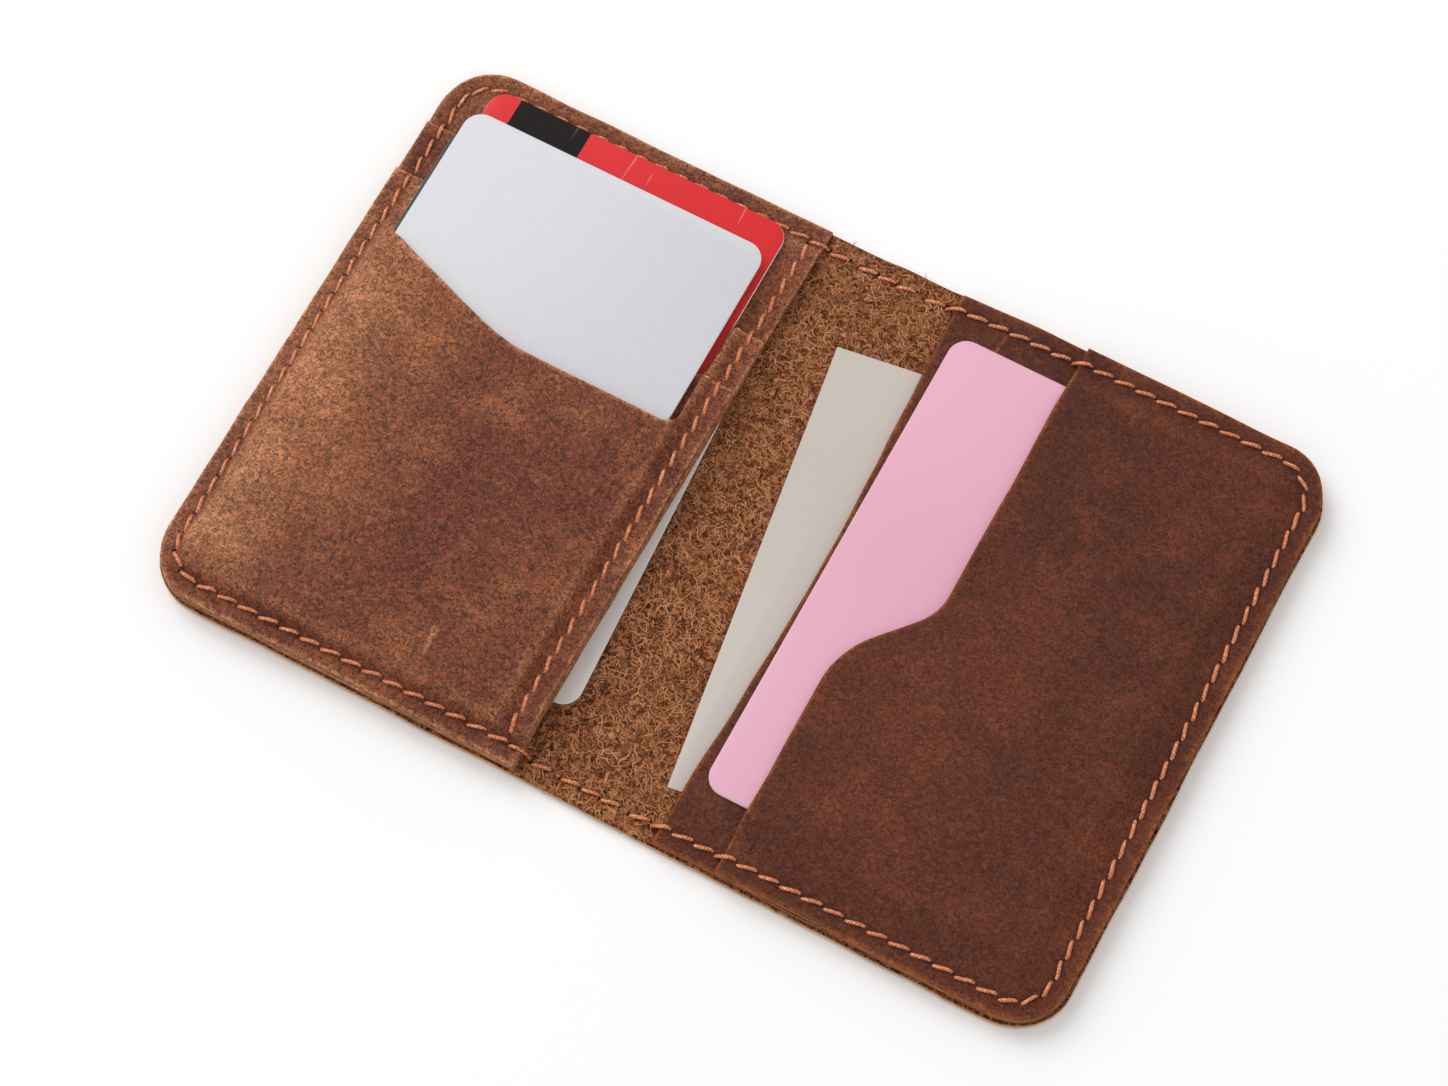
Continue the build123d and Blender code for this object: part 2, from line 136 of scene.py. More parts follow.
def grain_leather(name, dark, middle_tone, light, worn_and_highlight, roughness, worm):
    """Oiled pull-up cowhide: the oil shifts where it is pressed, so it clouds from dark to orange brown."""
    material, tree, shader, where = start_material(name)
    # clouds of 29 mm, then patches of 8 mm
    clouds = add(tree, "TexNoise", {"Vector": where, "Scale": scale_for(29.4), "Detail": 4.0,
                                    "Roughness": 0.55}).outputs[0]
    clouds = add(tree, "MapRange", {"Value": clouds, "From Min": 0.36, "From Max": 0.66}).outputs[0]
    colour = add(tree, "Mix", {share_in: clouds, first_in: tint(dark), second_in: tint(middle_tone)},
                 data_type="RGBA").outputs[mixed_out]
    patches = add(tree, "TexNoise", {"Vector": where, "Scale": scale_for(7.69), "Detail": 5.0,
                                     "Roughness": 0.62}).outputs[0]
    bright = add(tree, "MapRange", {"Value": patches, "From Min": 0.5, "From Max": 0.74,
                                    "To Max": 0.6}).outputs[0]
    colour = add(tree, "Mix", {share_in: bright, first_in: colour, second_in: tint(light)},
                 data_type="RGBA").outputs[mixed_out]
    # short worm-like creases 0.67 mm apart, stronger with worm
    grain = add(tree, "TexNoise", {"Vector": where, "Scale": scale_for(2 / 3), "Detail": 2.0,
                                   "Roughness": 0.6, "Distortion": 1.4}).outputs[0]
    crease = add(tree, "Math", {0: grain, 1: 0.5}, operation="SUBTRACT").outputs[0]
    crease = add(tree, "Math", {0: crease}, operation="ABSOLUTE").outputs[0]
    crease = add(tree, "MapRange", {"Value": crease, "From Max": 0.12}).outputs[0]
    tone = add(tree, "MapRange", {"Value": grain, "From Min": 0.36, "From Max": 0.64,
                                  "To Min": 1.0 - 0.36 * worm, "To Max": 1.0 + 0.34 * worm}).outputs[0]
    # hairline scratches 2.4 mm apart, only here and there, and small pale scuffs of 1.6 mm
    turned = add(tree, "Mapping", {"Vector": where, "Rotation": (0.0, 0.0, 0.7),
                                   "Scale": (1.0, 0.11, 1.0)}).outputs[0]
    lines = add(tree, "TexNoise", {"Vector": turned, "Scale": scale_for(2.38), "Detail": 2.0,
                                   "Distortion": 0.6}).outputs[0]
    lines = add(tree, "MapRange", {"Value": lines, "From Min": 0.665, "From Max": 0.71}).outputs[0]
    sparse = add(tree, "TexNoise", {"Vector": where, "Scale": scale_for(14.3), "Detail": 2.0}).outputs[0]
    sparse = add(tree, "MapRange", {"Value": sparse, "From Min": 0.5, "From Max": 0.68}).outputs[0]
    lines = add(tree, "Math", {0: lines, 1: sparse}, operation="MULTIPLY").outputs[0]
    specks = add(tree, "TexNoise", {"Vector": where, "Scale": scale_for(1.613), "Detail": 3.0,
                                    "Roughness": 0.7}).outputs[0]
    specks = add(tree, "MapRange", {"Value": specks, "From Min": 0.66, "From Max": 0.78,
                                    "To Max": 0.5}).outputs[0]
    scuffs = add(tree, "Math", {0: lines, 1: specks}, operation="MAXIMUM").outputs[0]
    scuffs = add(tree, "Math", {0: scuffs, 1: 0.55}, operation="MULTIPLY").outputs[0]
    colour = add(tree, "Mix", {share_in: scuffs, first_in: colour, second_in: tint(worn_and_highlight)},
                 data_type="RGBA").outputs[mixed_out]
    # rubbed edges and shoulders, plus a painted highlight where a sheet adds one, broken up by the patches
    rub_and_highlight = add(tree, "Attribute", attribute_name="rub_and_highlight").outputs["Fac"]
    broken = add(tree, "MapRange", {"Value": patches, "From Min": 0.3, "From Max": 0.6,
                                    "To Min": 0.35, "To Max": 1.15}).outputs[0]
    rub_and_highlight = add(tree, "Math", {0: rub_and_highlight, 1: broken}, operation="MULTIPLY", use_clamp=True).outputs[0]
    colour = add(tree, "Mix", {share_in: rub_and_highlight, first_in: colour, second_in: tint(worn_and_highlight)},
                 data_type="RGBA").outputs[mixed_out]
    # darker where the seams press it, and painted shade in the hollows
    press_and_shade = add(tree, "Attribute", attribute_name="press_and_shade").outputs["Fac"]
    colour = add(tree, "Mix", {share_in: press_and_shade, first_in: colour, second_in: tint(dark)},
                 data_type="RGBA", blend_type="MULTIPLY").outputs[mixed_out]
    colour = add(tree, "VectorMath", {0: colour, 1: tone}, operation="MULTIPLY").outputs[0]
    tree.links.new(colour, shader.inputs["Base Color"])
    rough = add(tree, "MapRange", {"Value": patches, "From Min": 0.3, "From Max": 0.7,
                                   "To Min": roughness + 0.06, "To Max": roughness - 0.05}).outputs[0]
    tree.links.new(rough, shader.inputs["Roughness"])
    shader.inputs["Specular IOR Level"].default_value = 0.2
    swell = add(tree, "MapRange", {"Value": patches, "From Min": 0.3, "From Max": 0.7,
                                   "To Max": 0.5}).outputs[0]
    height = add(tree, "Math", {0: crease, 1: 0.6, 2: swell}, operation="MULTIPLY_ADD").outputs[0]
    bump = add(tree, "Bump", {"Height": height, "Strength": 0.8, "Distance": 0.09 * mm}).outputs[0]
    tree.links.new(bump, shader.inputs["Normal"])
    return material


def cut_edge(name, pale, brown, line):
    """The raw cut through cowhide: packed tan fibres in layers along the edge."""
    material, tree, shader, where = start_material(name)
    # layers 0.37 mm thick and 4.4 mm long, with tufts of 1.4 mm
    layered = add(tree, "Mapping", {"Vector": where, "Scale": (0.25, 0.25, 3.0)}).outputs[0]
    layers = add(tree, "TexNoise", {"Vector": layered, "Scale": scale_for(1.111), "Detail": 4.0,
                                    "Roughness": 0.7}).outputs[0]
    tufts = add(tree, "TexNoise", {"Vector": where, "Scale": scale_for(1.429), "Detail": 3.0,
                                   "Roughness": 0.7}).outputs[0]
    bands = add(tree, "MapRange", {"Value": layers, "From Min": 0.35, "From Max": 0.65}).outputs[0]
    colour = add(tree, "Mix", {share_in: bands, first_in: tint(brown), second_in: tint(pale)},
                 data_type="RGBA").outputs[mixed_out]
    tufts = add(tree, "MapRange", {"Value": tufts, "From Min": 0.52, "From Max": 0.75,
                                   "To Max": 0.8}).outputs[0]
    colour = add(tree, "Mix", {share_in: tufts, first_in: colour, second_in: tint(line)},
                 data_type="RGBA").outputs[mixed_out]
    tree.links.new(colour, shader.inputs["Base Color"])
    shader.inputs["Roughness"].default_value = 0.8
    shader.inputs["Specular IOR Level"].default_value = 0.2
    bump = add(tree, "Bump", {"Height": layers, "Strength": 0.8, "Distance": 0.12 * mm}).outputs[0]
    tree.links.new(bump, shader.inputs["Normal"])
    return material


def flesh_leather(name):
    """The flesh side of cowhide: a rough nap of curly collagen fibres, with painted highlights on its strands
    and raised fluff and painted shade between.
    """
    material, tree, shader, where = start_material(name)
    # clouds of 17 mm, curled strands 1.6 mm apart and a fluff of 0.8 mm
    clouds = add(tree, "TexNoise", {"Vector": where, "Scale": scale_for(16.7), "Detail": 3.0}).outputs[0]
    clouds = add(tree, "MapRange", {"Value": clouds, "From Min": 0.35, "From Max": 0.65}).outputs[0]
    curls = add(tree, "TexNoise", {"Vector": where, "Scale": scale_for(1.613), "Detail": 2.0,
                                   "Roughness": 0.55, "Distortion": 2.2}).outputs[0]
    strand = add(tree, "Math", {0: curls, 1: 0.5}, operation="SUBTRACT").outputs[0]
    strand = add(tree, "Math", {0: strand}, operation="ABSOLUTE").outputs[0]
    strand = add(tree, "MapRange", {"Value": strand, "From Max": 0.055, "To Min": 1.0,
                                    "To Max": 0.0}).outputs[0]
    fluff = add(tree, "TexNoise", {"Vector": where, "Scale": scale_for(0.8), "Detail": 3.0,
                                   "Roughness": 0.7, "Distortion": 1.2}).outputs[0]
    between = add(tree, "MapRange", {"Value": fluff, "From Min": 0.38, "From Max": 0.5,
                                     "To Min": 0.9, "To Max": 0.0}).outputs[0]
    painted_light_fluff = add(tree, "MapRange", {"Value": fluff, "From Min": 0.5, "From Max": 0.63,
                                   "To Max": 0.8}).outputs[0]
    lit = add(tree, "Math", {0: strand, 1: 0.45}, operation="MULTIPLY").outputs[0]
    colour = add(tree, "Mix", {share_in: clouds, first_in: tint("6a3216"), second_in: tint("814423")},
                 data_type="RGBA").outputs[mixed_out]
    # painted shade where the fluff is low, painted light where it is raised, painted highlights on the
    # strands
    for share, code in ((between, "2c1408"), (painted_light_fluff, "cf8e60"), (lit, "e0a478")):
        colour = add(tree, "Mix", {share_in: share, first_in: colour, second_in: tint(code)},
                     data_type="RGBA").outputs[mixed_out]
    tree.links.new(colour, shader.inputs["Base Color"])
    shader.inputs["Roughness"].default_value = 0.85
    shader.inputs["Specular IOR Level"].default_value = 0.1
    height = add(tree, "Math", {0: strand, 1: 0.5, 2: fluff}, operation="MULTIPLY_ADD").outputs[0]
    bump = add(tree, "Bump", {"Height": height, "Strength": 1.0, "Distance": 0.4 * mm}).outputs[0]
    tree.links.new(bump, shader.inputs["Normal"])
    return material


def waxed_thread(name, base, pale, ply_groove_shade):
    """Two-ply waxed linen thread: the plies show as slanted bands with painted shade in the grooves between
    them, and small painted glints of a pale colour.
    """
    material, tree, shader, where = start_material(name)
    # two plies that wind slantwise along the stitch, and a fray of 0.4 mm
    around = add(tree, "SeparateXYZ", {0: add(tree, "TexCoord").outputs["UV"]})
    turns = add(tree, "Math", {0: around.outputs[0], 1: 2.0}, operation="MULTIPLY").outputs[0]
    turns = add(tree, "Math", {0: around.outputs[1], 1: 7.0, 2: turns},
                operation="MULTIPLY_ADD").outputs[0]
    wave = add(tree, "Math", {0: turns, 1: math.tau}, operation="MULTIPLY").outputs[0]
    wave = add(tree, "Math", {0: wave}, operation="COSINE").outputs[0]
    wave = add(tree, "MapRange", {"Value": wave, "From Min": -1.0}).outputs[0]
    fray = add(tree, "TexNoise", {"Vector": where, "Scale": scale_for(0.3846), "Detail": 3.0,
                                  "Roughness": 0.6}).outputs[0]
    # the grooves between the plies get a darker colour as painted shade
    crowns = add(tree, "MapRange", {"Value": wave, "From Max": 0.5}).outputs[0]
    colour = add(tree, "Mix", {share_in: crowns, first_in: tint(ply_groove_shade), second_in: tint(base)},
                 data_type="RGBA").outputs[mixed_out]
    # painted glints in the pale colour
    glints = add(tree, "MapRange", {"Value": fray, "From Min": 0.5, "From Max": 0.75,
                                    "To Max": 0.7}).outputs[0]
    colour = add(tree, "Mix", {share_in: glints, first_in: colour, second_in: tint(pale)},
                 data_type="RGBA").outputs[mixed_out]
    tree.links.new(colour, shader.inputs["Base Color"])
    shader.inputs["Roughness"].default_value = 0.42
    shader.inputs["Specular IOR Level"].default_value = 0.6
    shader.inputs["Coat Weight"].default_value = 0.5
    shader.inputs["Coat Roughness"].default_value = 0.22
    height = add(tree, "Math", {0: fray, 1: 0.25, 2: wave}, operation="MULTIPLY_ADD").outputs[0]
    bump = add(tree, "Bump", {"Height": height, "Strength": 0.7, "Distance": 0.07 * mm}).outputs[0]
    tree.links.new(bump, shader.inputs["Normal"])
    return material


def card_stock(name, first, second, roughness, speck, scratches=0.0):
    """Printed PVC or board: an even colour that drifts a little, with a fine speck and handling marks."""
    material, tree, shader, where = start_material(name)
    # a drift over 62 mm, speck of 0.56 mm and slanted handling marks 1.1 mm apart
    drift = add(tree, "TexNoise", {"Vector": where, "Scale": scale_for(62.5), "Detail": 1.0}).outputs[0]
    drift = add(tree, "MapRange", {"Value": drift, "From Min": 0.35, "From Max": 0.65}).outputs[0]
    colour = add(tree, "Mix", {share_in: drift, first_in: tint(first), second_in: tint(second)},
                 data_type="RGBA").outputs[mixed_out]
    fine = add(tree, "TexNoise", {"Vector": where, "Scale": scale_for(0.5556), "Detail": 3.0,
                                  "Roughness": 0.7}).outputs[0]
    tone = add(tree, "MapRange", {"Value": fine, "From Min": 0.3, "From Max": 0.7,
                                  "To Min": 1.0 - speck, "To Max": 1.0 + speck}).outputs[0]
    colour = add(tree, "VectorMath", {0: colour, 1: tone}, operation="MULTIPLY").outputs[0]
    turned = add(tree, "Mapping", {"Vector": where, "Rotation": (0.0, 0.0, 0.4),
                                   "Scale": (1.0, 0.08, 1.0)}).outputs[0]
    marks = add(tree, "TexNoise", {"Vector": turned, "Scale": scale_for(1.111), "Detail": 1.0,
                                   "Distortion": 0.4}).outputs[0]
    marks = add(tree, "MapRange", {"Value": marks, "From Min": 0.72, "From Max": 0.76,
                                   "To Max": scratches}).outputs[0]
    colour = add(tree, "Mix", {share_in: marks, first_in: colour, second_in: tint("f4dcd8")},
                 data_type="RGBA").outputs[mixed_out]
    tree.links.new(colour, shader.inputs["Base Color"])
    rough = add(tree, "MapRange", {"Value": fine, "From Min": 0.3, "From Max": 0.7,
                                   "To Min": roughness - 0.04, "To Max": roughness + 0.05}).outputs[0]
    tree.links.new(rough, shader.inputs["Roughness"])
    shader.inputs["Specular IOR Level"].default_value = 0.16
    bump = add(tree, "Bump", {"Height": fine, "Strength": 0.25, "Distance": 0.02 * mm}).outputs[0]
    tree.links.new(bump, shader.inputs["Normal"])
    return material


# The left pockets are paler, with an open grain; the paleness is partly painted light, as the left half is
# more brightly lit. The right pocket is darker in itself, and smoother.
left_leather = grain_leather("Oiled pull-up cowhide, left",
                             "693523", "83492c", "9a5c36", "bd7f57", 0.48, 1.8)
right_leather = grain_leather("Oiled pull-up cowhide, right",
                              "4f2415", "602e1a", "71391f", "96501f", 0.56, 1.4)
cover_leather = grain_leather("Oiled pull-up cowhide, cover",
                              "562c19", "6c3a20", "864c28", "a5602f", 0.52, 1.0)
tan_edge = cut_edge("Raw cowhide edge, cover", "dcb07e", "b07c4e", "6e4426")
brown_edge = cut_edge("Burnished cowhide edge", "a06c45", "74462b", "4a2917")
flesh = flesh_leather("Cowhide flesh side")
# The thread's pale colour is painted glints, and its darkest colour is painted shade between the plies.
thread = waxed_thread("Waxed linen thread", "cf6a2a", "ffdcb4", "9a430f")
# Painted shade: the awl holes are near-black patches for the shade inside them.
painted_hole_shade = cut_edge("Awl hole, painted shade", "241009", "1a0b06", "0d0503")
# Printed PVC is even and satin, and its core shows as a pale edge. Board is duller.
silver_face = card_stock("Satin lilac grey PVC", "cdccd0", "d1d0d4", 0.5, 0.03)
card_core = card_stock("White PVC core", "f4f3f4", "efeeef", 0.5, 0.01)
green_face = card_stock("Dark green PVC", "2c3a33", "35443c", 0.4, 0.04)
green_core = card_stock("Beige card core", "c9b89b", "bda988", 0.6, 0.03)
red_face = card_stock("Satin red PVC", "d02a2a", "d63336", 0.42, 0.008, 0.16)
stripe_face = card_stock("Black magnetic tape", "120d0a", "16110e", 0.55, 0.05, 0.06)
white_face = card_stock("Grey white PVC", "cfc8c2", "d6cfc9", 0.4, 0.012)
pink_face = card_stock("Matt pink PVC", "dba4b7", "dfaabd", 0.5, 0.012)
slip_face = card_stock("Warm grey board", "beb5ad", "c3bab2", 0.75, 0.02)
slip_core = card_stock("White board core", "f2eee8", "ebe6df", 0.7, 0.02)

# ---------------------------------------------------------------- shaping


def clear_selection():
    if bpy.context.object and bpy.context.object.mode != "OBJECT":
        bpy.ops.object.mode_set(mode="OBJECT")
    bpy.ops.object.select_all(action="DESELECT")


def pick(piece, wanted):
    """In edit mode, selects the vertices that pass a test of their place."""
    mesh = bmesh.from_edit_mesh(piece.data)
    for vertex in mesh.verts:
        vertex.select_set(bool(wanted(vertex.co)))
    mesh.select_flush(True)
    bmesh.update_edit_mesh(piece.data)


arc_step = math.radians(9)


def cut_out(name, corners, level):
    """A flat piece cut to its outline. Each corner has its place and its rounding, counterclockwise."""
    clear_selection()
    bpy.ops.mesh.primitive_circle_add(vertices=len(corners), radius=0.01, fill_type="NGON")
    piece = bpy.context.object
    piece.name = piece.data.name = name
    # the circle's own place is left behind: each of its vertices goes to a corner
    for vertex, (x, y, _) in zip(piece.data.vertices, corners):
        vertex.co = place(x, y, level)
    bpy.ops.object.mode_set(mode="EDIT")
    bpy.ops.mesh.select_mode(type="VERT")
    for index, (x, y, radius) in enumerate(corners):
        if not radius:
            continue
        before, after = corners[index - 1], corners[(index + 1) % len(corners)]
        angle = Vector((before[0] - x, before[1] - y)).angle(Vector((after[0] - x, after[1] - y)))
        here = place(x, y, level)
        pick(piece, lambda co: (co - here).length < 0.001 * mm)
        bpy.ops.mesh.bevel(offset_type="ABSOLUTE", offset=radius / math.tan(angle / 2) * mm,
                           affect="VERTICES", profile=0.5,
                           segments=max(3, round((math.pi - angle) / arc_step)))
    bpy.ops.mesh.select_all(action="SELECT")
    return piece


def outline_of(piece):
    """The outline's points in order, in millimetres."""
    face = piece.data.polygons[0]
    return np.array([(piece.data.vertices[i].co - cad_low) / mm for i in face.vertices])[:, :2]


def edge_distance(points, outline):
    """How far each point lies from the outline."""
    nearest = np.full(len(points), 1e9)
    for a, b in zip(outline, np.roll(outline, -1, axis=0)):
        run = b - a
        share = np.clip(((points - a) @ run) / (run @ run), 0, 1)
        nearest = np.minimum(nearest, np.linalg.norm(points - a - share[:, None] * run, axis=1))
    return nearest


def ramp(value, start, end):
    """From 0 at the start to 1 at the end, smoothly."""
    t = np.clip((value - start) / (end - start), 0, 1)
    return t * t * (3 - 2 * t)


def swelling(value, full, late):
    """The rise of a filled pocket from its cut edge: slow to the seam, then round over the cards' edges.

    full is how far in the pocket has all but its whole height, and late its share of it 5.8 mm in.
    """
    return np.interp(value, (0.8, 2.0, seam_inset, 3.6, 4.5, 5.2, 5.8, full, full + 1.2),
                     (0.0, 0.04, 0.13, 0.36, 0.65, 0.80, late, 0.985, 1.0))


def seam_distance(x, y):
    """How far a point is from the border seam, a rounded rectangle."""
    centre_x, centre_y = middle, open_height / 2
    reach_x = middle - seam_inset - seam_corner
    reach_y = open_height / 2 - seam_inset - seam_corner
    dx, dy = np.abs(x - centre_x) - reach_x, np.abs(y - centre_y) - reach_y
    outside = np.hypot(np.maximum(dx, 0), np.maximum(dy, 0))
    return np.abs(outside + np.minimum(np.maximum(dx, dy), 0) - seam_corner)


def ripple(x, y, size, seed):
    """Smooth noise from -1 to 1, a bump every so many millimetres."""
    return np.array([noise.noise(Vector((a / size, b / size, seed))) for a, b in zip(x, y)])


lean_start = 57.0


def lean(x, y):
    """The left panel's free edge and the seam beside it lean a little to the right at the top."""
    share = y / open_height
    at_seam, at_edge = -0.1 + 1.35 * share ** 1.3, -0.45 + 0.65 * share
    inner = np.clip((x - lean_start) / (pocket_seam_x - lean_start), 0, 1)
    outer = np.clip((x - pocket_seam_x) / (panel_edge - pocket_seam_x), 0, 1)
    return inner * at_seam + outer * (at_edge - at_seam)


# Rings inset from a cut edge, each by this much more, carry its rounding. Closer points are one point.
edge_rings = (0.03, 0.07, 0.11, 0.15, 0.3)
weld = 0.008
# A cut edge wanders by this much, with a bump every so far, and less further in.
wander, wander_every, wander_fades = 0.22, 9.0, (0.6, 5.0)


def sheet(name, corners, thickness, underside, columns, rows, materials, seed, warp=None, proud=0.0,
          rounded=0.36, groove=0.0, painted_highlight=None):
    """A sheet of leather: cut, gridded, given its thickness, then laid over what is under it.

    underside gives the height that it lies at, and warp how far it is shifted sideways. proud pushes
    the border out, rounded eases the cut edges, groove is the depth of a groove under the seam and
    the last one adds a painted highlight to the rubbing.
    """
    piece = cut_out(name, corners, thickness)
    bpy.ops.object.mode_set(mode="OBJECT")
    outline = outline_of(piece)
    bpy.ops.object.mode_set(mode="EDIT")
    bpy.ops.mesh.select_mode(type="FACE")
    bpy.ops.mesh.select_all(action="SELECT")
    for width in edge_rings:
        bpy.ops.mesh.inset(thickness=width * mm, depth=0, use_even_offset=True)
    for values, direction in ((columns, (1, 0, 0)), (rows, (0, 1, 0))):
        for value in values:
            bpy.ops.mesh.select_all(action="SELECT")
            bpy.ops.mesh.bisect(plane_co=place(value, value, 0), plane_no=direction)
    bpy.ops.mesh.select_all(action="SELECT")
    bpy.ops.mesh.remove_doubles(threshold=weld * mm)
    bpy.ops.mesh.select_all(action="SELECT")
    bpy.ops.mesh.extrude_region_move(TRANSFORM_OT_translate={"value": (0, 0, -thickness * mm)})
    bpy.ops.mesh.select_all(action="SELECT")
    bpy.ops.mesh.normals_make_consistent(inside=False)
    bpy.ops.object.mode_set(mode="OBJECT")

    mesh = piece.data
    co = np.empty(len(mesh.vertices) * 3)
    mesh.vertices.foreach_get("co", co)
    co = (co.reshape(-1, 3) - np.array(cad_low)) / mm
    x, y, on_top = co[:, 0].copy(), co[:, 1].copy(), co[:, 2] > thickness / 2
    # where the cover's two halves meet is no cut edge, so that side of the outline moves out of reach
    outline[np.abs(outline[:, 0] - middle) < 0.01, 0] += 20.0 if outline[:, 0].min() < 1 else -20.0
    depth = edge_distance(co[:, :2], outline)
    rounding = rounded * (1 - np.sqrt(np.clip(1 - (1 - np.clip(depth / rounded, 0, 1)) ** 2, 0, 1)))
    level = underside(x, y)
    from_seam = seam_distance(x, y)
    if groove:
        level = level + np.where(on_top, 0, groove * np.exp(-(from_seam / 0.62) ** 4))
    co[:, 2] = np.where(on_top, level + thickness - rounding, level + rounding * 0.7)
    co[:, 2] -= np.where(on_top, 0.14 * np.exp(-(from_seam / 0.55) ** 2) * (depth > rounded), 0)
    near_edge = 1 - ramp(depth, *wander_fades)
    co[:, 0] += near_edge * wander * ripple(x, y, wander_every, seed)
    co[:, 1] += near_edge * wander * ripple(x, y, wander_every, seed + 7.3)
    if proud:
        inside_x = np.clip(x, outer_corner, open_width - outer_corner)
        inside_y = np.clip(y, outer_corner, open_height - outer_corner)
        out = np.stack([x - inside_x, y - inside_y], 1)
        reach = np.maximum(np.linalg.norm(out, axis=1), 1e-6)
        co[:, :2] += out / reach[:, None] * (proud * ramp(reach, 3.0, outer_corner))[:, None]
    if warp:
        shift_x, shift_y = warp(x, y)
        co[:, 0] += shift_x
        co[:, 1] += shift_y
    mesh.vertices.foreach_set("co", (co * mm + np.array(cad_low)).ravel())

    step = 0.8
    around = (underside(x + step, y) + underside(x - step, y)
              + underside(x, y + step) + underside(x, y - step))
    bend = (around - 4 * underside(x, y)) / step ** 2
    # rubbed at the cut edge and on what stands up, pressed at the seam, and painted shade in the hollows
    rub_and_highlight = 0.75 * np.exp(-(depth / 0.45) ** 2) + np.clip(-bend * 0.35, 0, 0.55)
    # a painted highlight, where one is given, is added to the rubbing
    if painted_highlight:
        rub_and_highlight = rub_and_highlight + painted_highlight(x, y)
    press_and_shade = 0.35 * np.exp(-(from_seam / 0.75) ** 2) + 0.25 * np.clip(bend * 0.5, 0, 1)
    for label, values in (("rub_and_highlight", rub_and_highlight), ("press_and_shade", press_and_shade)):
        attribute = mesh.attributes.new(label, "FLOAT", "POINT")
        attribute.data.foreach_set("value", np.clip(values, 0, 1).astype(np.float32))
    for material in materials:
        mesh.materials.append(material)
    # the second material is the cut wall's, and the third, where there is one, the top's
    wall = depth < 0.02
    for face in mesh.polygons:
        if all(wall[i] for i in face.vertices):
            face.material_index = 1
        elif len(materials) > 2 and all(on_top[i] for i in face.vertices):
            face.material_index = 2
    bpy.ops.object.shade_smooth_by_angle(angle=math.radians(50))
    return piece


def stand_for(piece, body, slot, *nodes):
    """The piece rides on a body and takes the place of CAD nodes."""
    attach(piece, body)
    if nodes:
        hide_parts(*nodes)
    return piece


# ---------------------------------------------------------------- what lies over what

backing_rim, rear_rim = low_of("left_backing_panel").z, low_of("rear_card_pocket").z
front_rim = low_of("front_card_pocket").z
base_rim, right_rim = low_of("right_base_panel").z, low_of("right_pocket").z
backing_thick, rear_thick, front_thick, base_thick, right_thick = 1.0, 1.0, 1.1, 1.2, 1.2
card_gap, leather_gap = 0.05, 0.01
over_white = high_of("white_card").z + card_gap
over_red = high_of("red_card").z + card_gap
over_silver = high_of("silver_card").z + card_gap
over_slip = high_of("grey_slip").z + card_gap
over_pink = high_of("pink_card").z + card_gap


def under_backing(x, y):
    """Over the white card, which stands out at the panel's free edge."""
    lift = ramp(x, 3.3, 9.6) * ramp(y, 3.4, 9.6) * (1 - ramp(y, 98.6, 101.0))
    return backing_rim + (over_white - backing_rim) * lift


def under_rear(x, y):
    """Over the red card; its ears lie on the backing above the mouth."""
    lift = ramp(x, 5.7, 7.35) * (1 - 0.72 * ramp(x, 61.45, 63.6) * ramp(y, 4.0, 9.0)) * ramp(y, 4.0, 14.4)
    ear = ramp(y, 78.0, 84.0) * (1 - ramp(x, 6.5, 9.0))
    raised = rear_rim + (over_red - rear_rim) * lift * (1 - ear)
    return np.maximum(under_backing(x, y) + backing_thick + leather_gap, raised)


def under_front(x, y):
    """Over the silver and green cards; its ears lie on the rear pocket above the mouth."""
    lift = swelling(x, 6.6, 0.88) * (1 - 0.5 * ramp(x, 60.65, 63.5)) * swelling(y, 8.6, 0.86)
    left_ear = ramp(y, 66.5, 73.0) * (1 - ramp(x, 6.5, 9.0))
    right_ear = ramp(y, 58.8, 64.0) * ramp(x, 60.5, 61.5)
    raised = front_rim + (over_silver - front_rim) * lift * (1 - left_ear) * (1 - right_ear)
    crown = 0.5 * (1 - np.exp(-np.clip(x - 7.0, 0, 60) / 7)) * (1 - ramp(x, 50, 60.6)) * ramp(y, 8, 26)
    return np.maximum(under_rear(x, y) + rear_thick + leather_gap, raised + crown * (1 - ramp(y, 44, 60)))


def under_base(x, y):
    """Over the grey slip."""
    lift = ramp(y, 3.3, 8.8) * (1 - ramp(y, 95.5, 100.6)) * (1 - ramp(x, 141, 150))
    return base_rim + (over_slip - base_rim) * lift


def under_right(x, y):
    """Over the pink card, a little swollen in the middle."""
    lift = ramp(y, 3.3, 10.8) * (1 - ramp(y, 97.3, 101.0)) * (1 - ramp(x, 147.8, 153.7))
    swell = 0.35 * ramp(x, 108, 124) * (1 - ramp(x, 132, 150)) * ramp(y, 10, 34) * (1 - ramp(y, 70, 96))
    raised = right_rim + (over_pink - right_rim) * lift + swell
    return np.maximum(under_base(x, y) + base_thick + leather_gap, raised)


fine_grid, open_grid = 0.55, 1.7


def border_lines(first, last, fine_low=True, fine_high=True):
    """Grid lines: close together where the leather bends at a border, wide apart between."""
    lines = list(np.arange(first + 1.0, first + 10.5, fine_grid)) if fine_low else []
    start = lines[-1] + 1.6 if lines else first + 1.6
    tail = list(np.arange(last - 9.0, last - 0.9, fine_grid)) if fine_high else []
    stop = tail[0] if tail else last - 0.6
    return lines + list(np.arange(start, stop, open_grid)) + tail


# ---------------------------------------------------------------- leather sheets


def lean_shift(x, y):
    """The lean, as a shift sideways and none along."""
    return lean(x, y), 0 * y


def top_shift(x, y):
    """The right half's top edge stands a little higher than the left's."""
    return 0 * x, (-0.3 + 0.8 * ramp(x, 84, 104)) * ramp(y, 97, 103)


